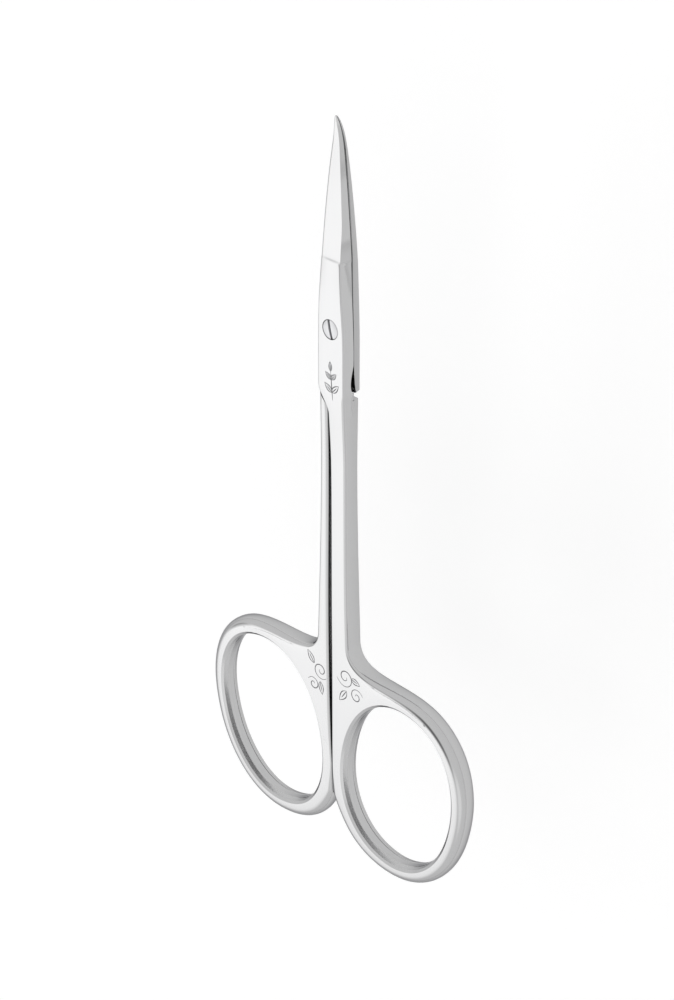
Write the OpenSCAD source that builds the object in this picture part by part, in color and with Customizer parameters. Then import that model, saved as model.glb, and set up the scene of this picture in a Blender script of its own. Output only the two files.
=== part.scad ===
// Cuticle scissors: two forged halves that cross in a lap joint and turn on a slotted screw.
// The scissors lie face up. X runs across, Y runs to the tips and Z points up.
// The screw's axis is the Z axis, and the underside of the joint lies in the plane Z = 0.
// Each half is one smooth skin: a swept finger ring, a web, and rows of sections from there to the tip.
// Both halves come from the same functions. The rear one is the front one turned over about Y.

/* [Blades] */
// Pivot axis to the tips
tip_y = 29.3; // [27:0.1:33]
// Width of one blade at the tip
tip_w = 0.22; // [0.18:0.02:0.6]
// Thickness of one blade at the tip
tip_t = 0.12; // [0.1:0.02:0.3]
// Fullness of the spine's outline in its lower part
spine_bow = 1.6; // [1.4:0.05:2.2]
// Bluntness of the spine's outline towards the tip, small for blunt
spine_point = 0.63; // [0.5:0.01:0.8]
// Fullness of the cutting edge's outline in its lower part
edge_bow = 1.4; // [1.2:0.05:1.6]
// Bluntness of the cutting edge's outline towards the tip
edge_point = 0.8; // [0.75:0.05:1]
// Where the ground face of the blade begins
grind_y = 9.3; // [8:0.1:11]
// Length over which the grind runs out into the joint
grind_run = 1.2; // [0.8:0.1:2]
// Thickness of one blade where the grind begins
blade_root_t = 1.35; // [1.1:0.05:1.4]
// How late the blade thins towards the tip, small for late
blade_thinning = 0.68; // [0.5:0.02:1]
// Width of the bevel along the cutting edge
bevel_w = 0.3; // [0.2:0.02:0.4]
// Height of the blunt land along the cutting edge
edge_land = 0.05; // [0.04:0.01:0.1]
// Slope of the spine, as its overhang for each millimetre of height
spine_slope = 0.25; // [0:0.05:0.4]
// Rounding of the blade's spine
spine_r = 0.3; // [0.1:0.02:0.5]
// How far the blades bow down behind the tips
bow_depth = 0.17; // [0:0.01:0.3]
// Distance from the pivot axis at which the bow is complete
bow_r = 12; // [10:0.5:16]
// How far the tips hook up out of the flat
hook_h = 0.48; // [0:0.01:0.8]
// Distance from the pivot axis at which the hook begins
hook_start = 24; // [18:0.5:26]
// How sharply the hook gathers towards the tip
hook_power = 3; // [2:0.1:4]

/* [Joint] */
// Width of the joint along its lap
box_w = 5.66; // [5.2:0.02:6.2]
// Thickness of the two halves together at the joint
box_t = 3.24; // [3:0.02:3.8]
// Where the joint begins to narrow towards the blades
narrow_y = -3; // [-6:0.5:0]
// Fall of the joint's face between the screw and the grind
face_fall = 0.17; // [0:0.01:0.3]
// Rounding of the joint's edge on the cutting side
box_edge_r = 0.25; // [0.1:0.05:0.5]
// Lean of the joint's cutting side, as its width in plan
side_lean = 0.38; // [0.1:0.02:0.5]
// Lean of that side where the grind begins
side_lean_end = 0.7; // [0.4:0.02:0.8]
// Running gap between the two flat laps
lap_gap = 0.04; // [0.02:0.01:0.08]
// Upper end of the shoulder, below the pivot axis
shoulder_top = 8.6; // [8:0.1:10]
// Height of the shoulder's curved slope
shoulder_h = 4; // [3:0.1:4.6]
// Gap between the rear half's shoulder and the front half's tail
rear_gap = 0.16; // [0.1:0.01:0.3]
// Gap between the front half's shoulder and the rear half's tail
front_gap = 0.7; // [0.1:0.05:0.9]
// Share of the shoulder's height at which its seat for the other tail ends flat
seat_share = 0.76; // [0.65:0.01:0.85]
// Where the front half's tail begins to narrow, below the pivot axis
front_tail_top = 8.6; // [8.6:0.1:9.4]
// Where the rear half's tail begins to narrow, below the pivot axis
rear_tail_top = 9; // [8.6:0.1:9.4]
// How square the front half's tail ends, 1 for a plain curve
front_tail_power = 1; // [1:0.1:4]
// How square the rear half's tail ends
rear_tail_power = 8; // [1:0.5:10]
// Length over which the joint narrows to the shank
neck_h = 1.6; // [1.2:0.1:2.4]
// Depth of the scoop in the lap face over the other half's tail
scoop_depth = 0.48; // [0.2:0.02:0.7]
// Lower end of the scoop, below the pivot axis
scoop_low = 9; // [8:0.1:9.4]
// Upper end of the scoop and of the rounded tails, below the pivot axis
scoop_top = 4.4; // [4:0.1:6]
// Depth to which the front half's tail is rounded off the lap
front_tail_depth = 0.4; // [0.2:0.05:1]
// Depth to which the rear half's tail is rounded off the lap
rear_tail_depth = 1; // [0.2:0.05:1]
// Where the rear half's tail ends at its outer side, below the pivot axis
rear_tail_y = 9.5; // [9:0.1:10]

/* [Screw] */
// Diameter of the screw's head
head_d = 2.75; // [2.4:0.05:3.2]
// Height of the screw's head up to its rim
head_h = 0.75; // [0.6:0.05:1]
// Rise of the head's dome above its rim
head_dome = 0.09; // [0.03:0.01:0.2]
// Diameter of the screw's shank
shank_d = 1.8; // [1.4:0.05:2]
// Width of the driver slot
slot_w = 0.36; // [0.25:0.01:0.5]
// Depth of the driver slot
slot_h = 0.4; // [0.25:0.05:0.5]
// Direction of the driver slot, from the X axis
slot_angle = 104; // [0:1:180]
// Radial gap around the head in its seat
head_gap = 0.06; // [0.04:0.01:0.1]
// Radial running gap of the shank in the front half
pivot_gap = 0.03; // [0.015:0.005:0.08]
// Radial gap of the shank in the rear half's hole
thread_gap = 0.01; // [0.01:0.005:0.03]

/* [Shanks] */
// Outer side of the shank at its lower end, from the pivot plane
heel_x = 3.05; // [2.8:0.05:3.4]
// Lower end of the straight shank, below the pivot axis
heel_y = 47.8; // [45:0.1:49]
// How late the shank widens towards its lower end
heel_flare = 2.4; // [1:0.1:4]
// Outer side of the shank below the joint
waist_x = 2.5; // [2.3:0.05:2.8]
// Thickness of the shank at its waist
waist_t = 2.48; // [2.3:0.02:2.8]
// The waist's distance below the pivot axis
waist_y = 21; // [17:0.5:26]
// Thickness of the shank at its lower end
heel_t = 2.88; // [2.6:0.02:3.1]
// Thickness of the shank just below the joint, on the side of the other half
neck_t = 2.74; // [2.5:0.02:3]
// Rounding of the shank's outer edges
shank_r = 0.28; // [0.15:0.01:0.5]
// Crown of the shank's outer side
shank_crown = 0.1; // [0:0.02:0.3]
// Rounding of the shank's inner edges
seam_r = 0.25; // [0.15:0.05:0.4]
// Inner side of the front shank at the shoulder
front_seam_x = -0.5; // [-0.8:0.05:-0.3]
// Inner side of the rear shank at the shoulder
rear_seam_x = 1.08; // [0.8:0.02:1.3]
// How early the front shank closes up to the pivot plane, small for early
front_seam_power = 0.8; // [0.4:0.1:1]
// How late the rear shank closes up to the front one
rear_seam_power = 5; // [2:0.5:6]
// Half the gap between the rings where they meet
touch_gap = 0.06; // [0.05:0.01:0.15]

/* [Finger rings] */
// Centre of the ring's hole, from the pivot plane
ring_x = 12.65; // [12.4:0.05:13.2]
// Centre of the ring's hole, below the pivot axis
ring_y = 67.6; // [65:0.1:70]
// Half width of the hole
hole_a = 10.1; // [9:0.1:10.6]
// Half length of the hole
hole_b = 13.4; // [12:0.1:14.5]
// Lean of the hole's long axis
hole_lean = 11.8; // [6:0.1:16]
// Squareness of the oval, 2 for an ellipse
oval_power = 2.12; // [2:0.01:2.3]
// Radial width of the ring
ring_w = 2.6; // [2.4:0.05:3]
// Extra width of the ring at its upper outer side
crest_w = 0.2; // [0:0.05:0.6]
// Extra width of the ring below the point where the rings meet
foot_w = 0.5; // [0:0.05:0.7]
// Thickness of the ring
ring_t = 3.15; // [2.8:0.05:3.2]
// Rounding of the ring's outer edges
ring_r = 1.46; // [1:0.02:1.5]
// Width of the bevel round the hole
hole_bevel_w = 0.58; // [0.3:0.02:0.8]
// Share of the ring's thickness between the bevels
hole_wall_share = 0.45; // [0.3:0.05:0.7]
// Length of the fillet's pull on the shank
fillet_upper = 6.7; // [5:0.1:9]
// Length of the fillet's pull on the ring
fillet_lower = 7.3; // [5:0.1:9]
// Where the fillet joins the ring, as the oval's own angle
fillet_angle = 74; // [66:1:80]

/* [Smoothness] */
// Steps round the free part of a ring
ring_steps = 44; // [32:4:64]
// Steps across a web or a blade
web_steps = 10; // [8:1:12]
// Rows of sections in the web
web_rows = 12; // [8:1:16]
// Steps in each rounded edge
edge_steps = 3; // [3:1:4]

/* [Hidden] */
$fn = 64;
steel = "#d9dadb";
bright_steel = "#c9cacc";

mid_z = box_t / 2;
shoulder_low = shoulder_top + shoulder_h;
neck_y = shoulder_top + neck_h;
tail_end_y = -shoulder_low + seat_share * shoulder_h;
side_steps = 2 * edge_steps + 1;
far = 60;
deep = 8;

function lerp(a, b, t) = a + (b - a) * t;
function unit(v) = v / norm(v);
function clamp01(t) = min(1, max(0, t));
function ease(t) = let (u = clamp01(t)) u * u * (3 - 2 * u);
function signed_pow(v, p) = sign(v) * pow(abs(v), p);

// The ring's hole, its normal and its width, by the oval's own angle
lean_c = cos(hole_lean);
lean_s = -sin(hole_lean);
function hole_at(a) = let (
    u = hole_a * signed_pow(cos(a), 2 / oval_power),
    v = hole_b * signed_pow(sin(a), 2 / oval_power)
) [ring_x + u * lean_c - v * lean_s, -ring_y + u * lean_s + v * lean_c];
function hole_normal(a) = let (d = hole_at(a + 1) - hole_at(a - 1)) unit([d[1], -d[0]]);
// The oval's own angle at its point nearest the other ring
seam_angle = 180 + atan2(-hole_b * lean_s, hole_a * lean_c);
// The ring swells at its upper outer side and below the seam. It is ground flat where it meets the other.
crest_angle = 50;
crest_reach = 54;
foot_angle = 234;
foot_reach = 54;
function swell(a, at, reach) = 1 - ease(abs(a - at) / reach);
function free_width(a) = ring_w
    + crest_w * (swell(a, crest_angle, crest_reach) + swell(a, crest_angle + 360, crest_reach))
    + foot_w * swell(a, foot_angle, foot_reach);
function flat_width(a) = (hole_at(a)[0] - touch_gap) / max(0.01, -hole_normal(a)[0]);
function ring_width(a) = min(free_width(a), flat_width(a));
function ring_rounding(a) = lerp(seam_r, ring_r, ease((a - seam_angle) / 40));
function ring_outer(a) = hole_at(a) + hole_normal(a) * ring_width(a);

// Both sides of a half, as X for a given Y.
// A seam is [X at the shoulder, power, where the tail begins to narrow, squareness of the tail].
front_seam = [front_seam_x, front_seam_power, front_tail_top, front_tail_power];
rear_seam = [rear_seam_x, rear_seam_power, rear_tail_top, rear_tail_power];
touch_y = ring_outer(seam_angle)[1];
touch_x = ring_outer(seam_angle)[0];
function seam_x(y, seam) = let (t = clamp01((-shoulder_low - y) / (-shoulder_low - touch_y)))
    lerp(seam[0], touch_x, pow(t, seam[1]));
function blade_half(y, bow, point) = let (u = clamp01((y - narrow_y) / (tip_y - narrow_y)))
    lerp(tip_w / 2, box_w / 2, pow(1 - pow(u, bow), point));
function shank_x(y) = y > -neck_y
    ? lerp(waist_x, box_w / 2, ease((y + neck_y) / neck_h))
    : lerp(waist_x, heel_x, pow(clamp01((-neck_y - y) / (heel_y - neck_y)), heel_flare));
function right_x(y) = y > -shoulder_top ? blade_half(y, edge_bow, edge_point) : shank_x(y);
function tail_x(y, seam) = let (t = (y + shoulder_low) / (shoulder_low - seam[2]))
    lerp(seam[0], -box_w / 2, pow(ease(t), seam[3]));
function left_x(y, seam) = y > -shoulder_top ? -blade_half(y, spine_bow, spine_point)
    : y > -shoulder_low ? tail_x(y, seam)
    : seam_x(y, seam);
probe = 0.05;
// The spine's own normal. Tails and seams keep one direction, so that no row folds over its neighbour.
function left_normal(y) = y > narrow_y
    ? let (d = blade_half(y - probe, spine_bow, spine_point) - blade_half(y + probe, spine_bow, spine_point))
        unit([-2 * probe, d])
    : [-1, 0];
function right_normal(y) = unit([2 * probe, right_x(y - probe) - right_x(y + probe)]);

// Half the thickness along the length. A blade keeps its own half of it.
fall_start = 3;
function ground(y) = ease((y - grind_y) / grind_run);
function joint_t(y) = let (u = clamp01((y - fall_start) / (grind_y - fall_start)))
    box_t / 2 - face_fall * pow(u, 1.3);
function blade_t(y) = let (u = clamp01((y - grind_y) / (tip_y - grind_y)))
    lerp(tip_t, blade_root_t, pow(1 - u, blade_thinning));
function shank_t(y, top_t) = y > -waist_y
    ? lerp(top_t, waist_t, ease((-shoulder_top - y) / (waist_y - shoulder_top))) / 2
    : lerp(waist_t, heel_t, ease((-waist_y - y) / (heel_y - waist_y))) / 2;
function face_t(y) = y > -shoulder_top ? lerp(joint_t(y), blade_t(y), ground(y)) : shank_t(y, box_t);
function back_t(y) = y > -shoulder_top ? face_t(y) * neck_t / box_t : shank_t(y, neck_t);

// Rounding and lean of both sides
function left_share(y) = ease((y + shoulder_low) / shoulder_h);
function left_r(y, t) = min(lerp(seam_r, spine_r, left_share(y)), 0.6 * t);
function left_lean(y, t) = left_share(y) * spine_slope * t;
function right_r(y) = lerp(shank_r, box_edge_r, ease((y + neck_y) / neck_h));
function right_lean(y) = y > 0 ? lerp(side_lean, side_lean_end, clamp01(y / grind_y))
    : lerp(shank_crown, side_lean, ease((y + neck_y) / neck_h));
function edge_bevel(y) = min(bevel_w, 0.8 * blade_half(y, edge_bow, edge_point));

// The blades' curve, as height over distance from the pivot axis, so that the laps slide on each other
bow_start = 4;
function hook_at(r) = pow(clamp01((r - hook_start) / (tip_y - hook_start)), hook_power);
function bow_at(r) = ease((r - bow_start) / (bow_r - bow_start));
function bend_at(r) = (bow_depth + hook_h) * hook_at(r) - bow_depth * bow_at(r);

// A side's strip of points, from the face to the middle of the wall, as [outward, up].
// The wall leans: it stands out by its lean at the middle of the thickness.
function round_strip(r, t, lean) = concat(
    [for (i = [1:edge_steps]) let (a = 90 - 90 * i / edge_steps)
        [r * (cos(a) - 1) - lean, t - r * (1 - sin(a))]],
    [[0, 0]]
);
function bevel_strip(w, t) = concat(
    [for (i = [1:edge_steps]) let (s = i / edge_steps) [-w * (1 - s), lerp(t, edge_land, s)]],
    [[0, 0]]
);
function both_faces(upper, lower) = concat(
    upper,
    [for (i = [edge_steps - 1:-1:0]) [lower[i][0], -lower[i][1]]]
);
function even_strip(r, t, lean) = both_faces(round_strip(r, t, lean), round_strip(r, t, lean));
function side_points(p, n, strip) = [for (s = strip) [p[0] + n[0] * s[0], p[1] + n[1] * s[0], s[1]]];
function reversed(v) = [for (i = [len(v) - 1:-1:0]) v[i]];

// One closed loop of a row, from the left edge over the face to the right side and back below
function row_loop(face, t, back, right, left) = concat(
    [for (p = face) [p[0], p[1], t]],
    right,
    [for (p = reversed(face)) [p[0], p[1], -back]],
    reversed(left)
);

// The ring: angles, then one closed loop for each, from the hole's bevel to the outer side
free_span = 360 - (seam_angle - fillet_angle);
ring_angles = concat(
    [for (i = [0:web_steps - 1]) lerp(fillet_angle, seam_angle, i / web_steps)],
    [for (i = [0:ring_steps - 1]) seam_angle + free_span * i / ring_steps]
);
ring_count = len(ring_angles);
bevel_share_mid = 0.35;
function hole_side() = let (h = ring_t / 2, c = h * hole_wall_share) [
    [0, c],
    [hole_bevel_w * bevel_share_mid, lerp(c, h, 0.7)],
    [hole_bevel_w, h]
];
function ring_loop(a) = let (
    p = hole_at(a),
    n = hole_normal(a),
    w = ring_width(a),
    r = a < seam_angle ? ring_r : ring_rounding(a),
    inner = hole_side(),
    edge = [w - r, ring_t / 2],
    outer = [for (s = even_strip(r, ring_t / 2, 0)) [w + s[0], s[1]]],
    loop = concat([for (s = reversed(inner)) [s[0], -s[1]]], inner, [edge], outer, [[edge[0], -edge[1]]])
) [for (s = loop) [p[0] + n[0] * s[0], p[1] + n[1] * s[0], s[1]]];
face_at = 2 * len(hole_side());
ring_len = face_at + 2 + side_steps;

// The web: rows between the ring and the shank, along a curve that joins ring and shank
seam_end = ring_outer(seam_angle);
fillet_end = ring_outer(fillet_angle);
fillet_normal = hole_normal(fillet_angle);
fillet_start = [shank_x(-heel_y), -heel_y];
fillet_pts = [
    fillet_end,
    fillet_end + [-fillet_normal[1], fillet_normal[0]] * fillet_lower,
    fillet_start - [0, fillet_upper],
    fillet_start
];
function bezier(p, t) = pow(1 - t, 3) * p[0] + 3 * pow(1 - t, 2) * t * p[1]
    + 3 * (1 - t) * t * t * p[2] + pow(t, 3) * p[3];
function bezier_slope(p, t) = pow(1 - t, 2) * (p[1] - p[0]) + 2 * (1 - t) * t * (p[2] - p[1])
    + t * t * (p[3] - p[2]);
arc_face = [for (i = [web_steps:-1:0]) let (a = ring_angles[i])
    hole_at(a) + hole_normal(a) * (ring_width(a) - (i == web_steps ? seam_r : ring_r))];
function run_length(pts, i) = i == 0 ? 0 : run_length(pts, i - 1) + norm(pts[i] - pts[i - 1]);
arc_share = [for (i = [0:web_steps]) run_length(arc_face, i) / run_length(arc_face, web_steps)];
arc_bulge = [for (i = [0:web_steps])
    arc_face[i] - lerp(arc_face[0], arc_face[web_steps], arc_share[i])];
function web_row(s, seam) = let (
    t = lerp(ring_t, heel_t, ease(s)) / 2,
    slope = bezier_slope(fillet_pts, s),
    rn = unit([slope[1], -slope[0]]),
    y = lerp(seam_end[1], -heel_y, s),
    lp = [seam_x(y, seam), y],
    r = lerp(ring_r, shank_r, ease(s)),
    crown = shank_crown * ease(s),
    rp = bezier(fillet_pts, s),
    fl = lp + [seam_r, 0],
    fr = rp - rn * (r + crown),
    face = [for (i = [0:web_steps]) lerp(fl, fr, arc_share[i]) + pow(1 - s, 2) * arc_bulge[i]]
) row_loop(face, t, t, side_points(rp, rn, even_strip(r, t, crown)),
    side_points(lp, [-1, 0], even_strip(seam_r, t, 0)));

// Shank, joint and blade: straight rows
function left_strip(y, t) = round_strip(left_r(y, t), t, left_lean(y, t));
function right_strip(y, t) =
    lerp(round_strip(right_r(y), t, right_lean(y)), bevel_strip(edge_bevel(y), t), ground(y));
function straight_row(y, seam) = let (
    t = face_t(y),
    back = back_t(y),
    ln = left_normal(y),
    rn = right_normal(y),
    lp = [left_x(y, seam), y],
    rp = [right_x(y), y],
    fl = lp - ln * (left_r(y, t) + left_lean(y, t)),
    fr = rp - rn * lerp(right_r(y) + right_lean(y), edge_bevel(y), ground(y)),
    face = [for (i = [0:web_steps]) lerp(fl, fr, arc_share[i])]
) row_loop(face, t, back,
    side_points(rp, rn, both_faces(right_strip(y, t), right_strip(y, back))),
    side_points(lp, ln, both_faces(left_strip(y, t), left_strip(y, back))));
function spaced(from, to, n) = [for (i = [1:n]) lerp(from, to, i / n)];
blade_low = grind_y + grind_run;
blade_high = lerp(blade_low, tip_y, 0.7);
row_ys = concat(
    spaced(-heel_y, -waist_y, 6),
    spaced(-waist_y, -shoulder_low, 3),
    spaced(-shoulder_low, -neck_y, 4),
    spaced(-neck_y, -shoulder_top, 6),
    spaced(-shoulder_top, narrow_y, 1),
    spaced(narrow_y, grind_y, 6),
    spaced(grind_y, blade_low, 3),
    spaced(blade_low, blade_high, 7),
    spaced(blade_high, tip_y, 9)
);

// The whole skin as a mesh. The first row of the web is the ring's own edge.
row_len = 2 * (web_steps + 1) + 2 * side_steps;
function ring_index(i, j) = (i % ring_count) * ring_len + j % ring_len;
function first_row_index(j) =
    j <= web_steps ? ring_index(web_steps - j, face_at)
    : j <= web_steps + side_steps ? ring_index(0, face_at + j - web_steps)
    : j <= 2 * web_steps + 1 + side_steps
        ? ring_index(j - web_steps - side_steps - 1, face_at + side_steps + 1)
    : ring_index(web_steps, face_at + row_len - j);
function row_index(k, j) = k == 0 ? first_row_index(j % row_len)
    : ring_count * ring_len + (k - 1) * row_len + j % row_len;
function two_triangles(a, b, c, d) = [[a, c, b], [a, d, c]];
function ring_faces() = [for (i = [0:ring_count - 1], j = [0:ring_len - 1])
    if (i >= web_steps || j < face_at || j > face_at + side_steps)
        each two_triangles(
            ring_index(i, j),
            ring_index(i, j + 1),
            ring_index(i + 1, j + 1),
            ring_index(i + 1, j)
        )];
function row_faces(rows) = [for (k = [0:rows - 1], j = [0:row_len - 1])
    each two_triangles(row_index(k, j), row_index(k, j + 1), row_index(k + 1, j + 1), row_index(k + 1, j))];
function cap_faces(k) = let (back = 2 * web_steps + 1 + side_steps)
    concat(
        [for (i = [0:web_steps - 1])
            each two_triangles(
                row_index(k, i),
                row_index(k, i + 1),
                row_index(k, back - i - 1),
                row_index(k, back - i)
            )],
        [for (i = [0:side_steps - 1])
            [row_index(k, web_steps), row_index(k, web_steps + i + 2), row_index(k, web_steps + i + 1)]],
        [for (i = [0:side_steps - 1])
            [row_index(k, back), row_index(k, back + i + 2), row_index(k, back + i + 1)]]
    );

// Facing is 1 for the front half and -1 for the rear one, which is turned over about Y
module half_skin(seam, facing) {
    loops = concat(
        [for (a = ring_angles) ring_loop(a)],
        [for (i = [1:web_rows]) web_row(i / web_rows, seam)],
        [for (y = row_ys) straight_row(y, seam)]
    );
    points = [for (loop = loops) each loop];
    bent = [for (p = points) let (bend = p[1] > 0 ? bend_at(norm([p[0], p[1]])) : 0)
        [facing * p[0], p[1], mid_z + facing * p[2] + bend]];
    rows = web_rows + len(row_ys);
    polyhedron(points = bent, faces = concat(ring_faces(), row_faces(rows), cap_faces(rows)), convexity = 8);
}

// The other half's share of the joint: everything past this half's side of the curved lap
module other_side(facing) {
    steps = 24;
    bend_end = tip_y + 1;
    lap_z = mid_z + facing * lap_gap / 2;
    lap = [for (i = [0:steps]) let (r = lerp(bow_start, bend_end, i / steps)) [r, lap_z + bend_at(r)]];
    rotate_extrude() polygon(concat([[0, -facing * deep], [0, lap_z]], lap, [[bend_end, -facing * deep]]));
}

// The block that the lap is cut in: past the tail of the other half, with the shoulder's gap
module lap_block(other_seam, gap) {
    steps = 8;
    tail = [for (i = [0:steps]) let (y = lerp(-shoulder_low, tail_end_y, i / steps))
        [-tail_x(y, other_seam), y - gap]];
    translate([0, 0, -deep])
        linear_extrude(2 * deep)
            polygon(concat(
                [[-far, -shoulder_low - gap]],
                tail,
                [[far, tail_end_y - gap], [far, far], [-far, far]]
            ));
}

// What is taken off the lap over the other half's tail, and off this half's own tail: curves of depth
// over Y, drawn across the half. Up is 1 where the cut goes up from the lap and -1 where it goes down.
module lap_cut(curve, up) {
    last = len(curve) - 1;
    translate([0, 0, mid_z])
        rotate([0, 90, 0])
            linear_extrude(far)
                polygon(concat(
                    [for (p = curve) [-up * p[1], p[0]]],
                    [[up, curve[last][0]], [up, curve[0][0]]]
                ));
}
cut_steps = 8;
// The scoop is deepest about a third of its length above its lower end
scoop_skew = 0.58;
scoop_curve = [for (i = [0:cut_steps]) let (t = i / cut_steps)
    [lerp(-scoop_low, -scoop_top, t), scoop_depth * sin(180 * pow(t, scoop_skew))]];
// A tail's rounding, a quarter of an ellipse down to its end. The cut runs on level past the end.
function tail_curve(end_y, depth, past) = concat(
    [[end_y - past, depth]],
    [for (i = [0:cut_steps]) let (a = 90 * i / cut_steps)
        [lerp(-scoop_top, end_y, cos(a)), depth * (1 - sin(a))]]
);

module front_half() {
    head_seat = box_t - head_h - lap_gap / 2;
    color(steel)
        difference() {
            half_skin(front_seam, 1);
            intersection() {
                other_side(1);
                lap_block(rear_seam, front_gap);
            }
            lap_cut(scoop_curve, 1);
            mirror([1, 0, 0]) lap_cut(tail_curve(tail_end_y, front_tail_depth, lap_gap), 1);
            translate([0, 0, -deep]) cylinder(h = 2 * deep, r = shank_d / 2 + pivot_gap);
            translate([0, 0, head_seat]) cylinder(h = deep, r = head_d / 2 + head_gap);
        }
}

module rear_half() {
    color(steel)
        difference() {
            half_skin(rear_seam, -1);
            intersection() {
                other_side(-1);
                mirror([1, 0, 0]) lap_block(front_seam, rear_gap);
            }
            mirror([1, 0, 0]) lap_cut(scoop_curve, -1);
            lap_cut(tail_curve(-rear_tail_y, rear_tail_depth, front_gap), -1);
            translate([0, 0, -deep]) cylinder(h = 2 * deep, r = shank_d / 2 + thread_gap);
        }
}

module pivot_screw() {
    seat = box_t - head_h;
    dome_r = (head_d * head_d / 4 + head_dome * head_dome) / (2 * head_dome);
    color(bright_steel)
        difference() {
            union() {
                cylinder(h = seat + head_h / 2, r = shank_d / 2);
                intersection() {
                    translate([0, 0, seat]) cylinder(h = head_h + head_dome, r = head_d / 2);
                    translate([0, 0, box_t + head_dome - dome_r]) sphere(dome_r);
                }
            }
            rotate([0, 0, slot_angle])
                translate([-head_d, -slot_w / 2, box_t - slot_h])
                    cube([2 * head_d, slot_w, slot_h + 1]);
        }
}

front_half();
rear_half();
pivot_screw();
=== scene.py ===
"""The looks of the cuticle scissors: both halves as fine smooth skins, the screw, steel, light and camera."""

import math

import bmesh
import bpy
import numpy as np
from mathutils import Matrix, Vector
from mathutils.bvhtree import BVHTree


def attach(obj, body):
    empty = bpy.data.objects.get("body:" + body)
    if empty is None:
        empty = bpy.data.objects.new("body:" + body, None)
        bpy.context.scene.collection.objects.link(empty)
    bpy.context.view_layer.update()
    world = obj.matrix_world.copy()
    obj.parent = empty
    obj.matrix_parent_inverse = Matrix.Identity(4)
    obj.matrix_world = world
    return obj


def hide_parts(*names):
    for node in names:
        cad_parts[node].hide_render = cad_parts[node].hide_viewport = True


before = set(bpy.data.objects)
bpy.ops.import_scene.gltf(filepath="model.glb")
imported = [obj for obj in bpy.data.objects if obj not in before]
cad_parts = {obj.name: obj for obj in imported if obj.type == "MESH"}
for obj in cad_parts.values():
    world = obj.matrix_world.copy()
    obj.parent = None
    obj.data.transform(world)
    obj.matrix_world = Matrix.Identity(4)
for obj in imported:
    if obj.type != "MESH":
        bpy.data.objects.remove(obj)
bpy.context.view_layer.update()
MM = 0.001

# Sizes in millimetres that are finer than in the part's source, or that only this script has
TIP_Y = 29.15            # from the pivot axis to the tips
TIP_W = 0.26             # width of one blade at the tip
TIP_T = 0.14             # thickness of one blade at the tip
GRIND_Y = 9.5            # where the ground face of the blade begins
GRIND_RUN = 0.5          # length over which the grind runs out into the joint
BLADE_ROOT_T = 1.42      # thickness of one blade where the grind begins
BLADE_THINNING = 0.72    # how late the blade thins towards the tip, small for late
ROOT_BEVEL_W = 0.72      # width that the cutting edge's bevel has at the joint
ROOT_BEVEL_RUN = 6.0     # length over which the bevel widens to it
FRONT_SEAM_X = -0.56     # inner side of the front shank at the shoulder
REAR_SEAM_X = 0.94       # inner side of the rear shank at the shoulder, before it is turned over
SHANK_FACE_R = 0.4       # buffed outer edge of a shank's front face, rounder than at the back
INNER_FACE_R = 0.38      # buffed inner edge of the rear shank's front face
FACE_CROWN = 0.03        # how far the buffed front faces swell in their middle
GROOVE_W = 0.07          # chamfer along the lap, which draws the dark line between the halves
GROOVE_RUN = 1.5         # length over which the chamfer begins at the shoulder
CREASE_H = 0.2           # height of the ground line between a hole's wall and its bevel
CREASE_D = 0.1           # depth of that line
CREASE_LIP = 0.03        # how far outside the wall the bevel begins above it
HEAD_RIM_R = 0.08        # rounding of the screw head's rim
SCREW_END_W = 0.05       # chamfer at the end of the screw's shank
SLOT_FOOT_W = 0.06       # chamfer along the floor of the driver slot
SLOT_LIP_W = 0.05        # how far the slot's worn lips widen it
SLOT_LIP_LOW = 0.14      # where a lip begins, below the top of the dome
SLOT_LIP_HIGH = 0.02     # where a lip ends, below the top of the dome

# Blades, with the values of the part's source
SPINE_BOW, SPINE_POINT = 1.6, 0.63
EDGE_BOW, EDGE_POINT = 1.4, 0.8
BEVEL_W, EDGE_LAND = 0.3, 0.05
SPINE_SLOPE, SPINE_R = 0.25, 0.3
BOW_DEPTH, BOW_START, BOW_R = 0.17, 4.0, 12.0
HOOK_H, HOOK_START, HOOK_POWER = 0.48, 24.0, 3.0

# Joint, with the values of the part's source
BOX_W, BOX_T, NARROW_Y = 5.66, 3.24, -3.0
FALL_START, FACE_FALL, FALL_POWER = 3.0, 0.17, 1.3
BOX_EDGE_R, SIDE_LEAN, SIDE_LEAN_END = 0.25, 0.38, 0.7
LAP_GAP, REAR_GAP, FRONT_GAP = 0.04, 0.16, 0.7
SHOULDER_TOP, SHOULDER_H, SEAT_SHARE, NECK_H = 8.6, 4.0, 0.76, 1.6
SCOOP_DEPTH, SCOOP_LOW, SCOOP_TOP, SCOOP_SKEW = 0.48, 9.0, 4.4, 0.58
FRONT_TAIL_TOP, FRONT_TAIL_POWER, FRONT_TAIL_DEPTH = 8.6, 1.0, 0.4
REAR_TAIL_TOP, REAR_TAIL_POWER, REAR_TAIL_DEPTH, REAR_TAIL_Y = 9.0, 8.0, 1.0, 9.5

# Screw, with the values of the part's source
HEAD_D, HEAD_H, HEAD_DOME, SHANK_D = 2.75, 0.75, 0.09, 1.8
SLOT_W, SLOT_H, SLOT_ANGLE = 0.36, 0.4, 104.0
HEAD_GAP, PIVOT_GAP, THREAD_GAP = 0.06, 0.03, 0.01

# Shanks, with the values of the part's source
HEEL_X, HEEL_Y, HEEL_T, HEEL_FLARE = 3.05, 47.8, 2.88, 2.4
WAIST_X, WAIST_Y, WAIST_T, NECK_T = 2.5, 21.0, 2.48, 2.74
SHANK_R, SHANK_CROWN, SEAM_R = 0.28, 0.1, 0.25
FRONT_SEAM_POWER, REAR_SEAM_POWER, TOUCH_GAP = 0.8, 5.0, 0.06

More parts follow.
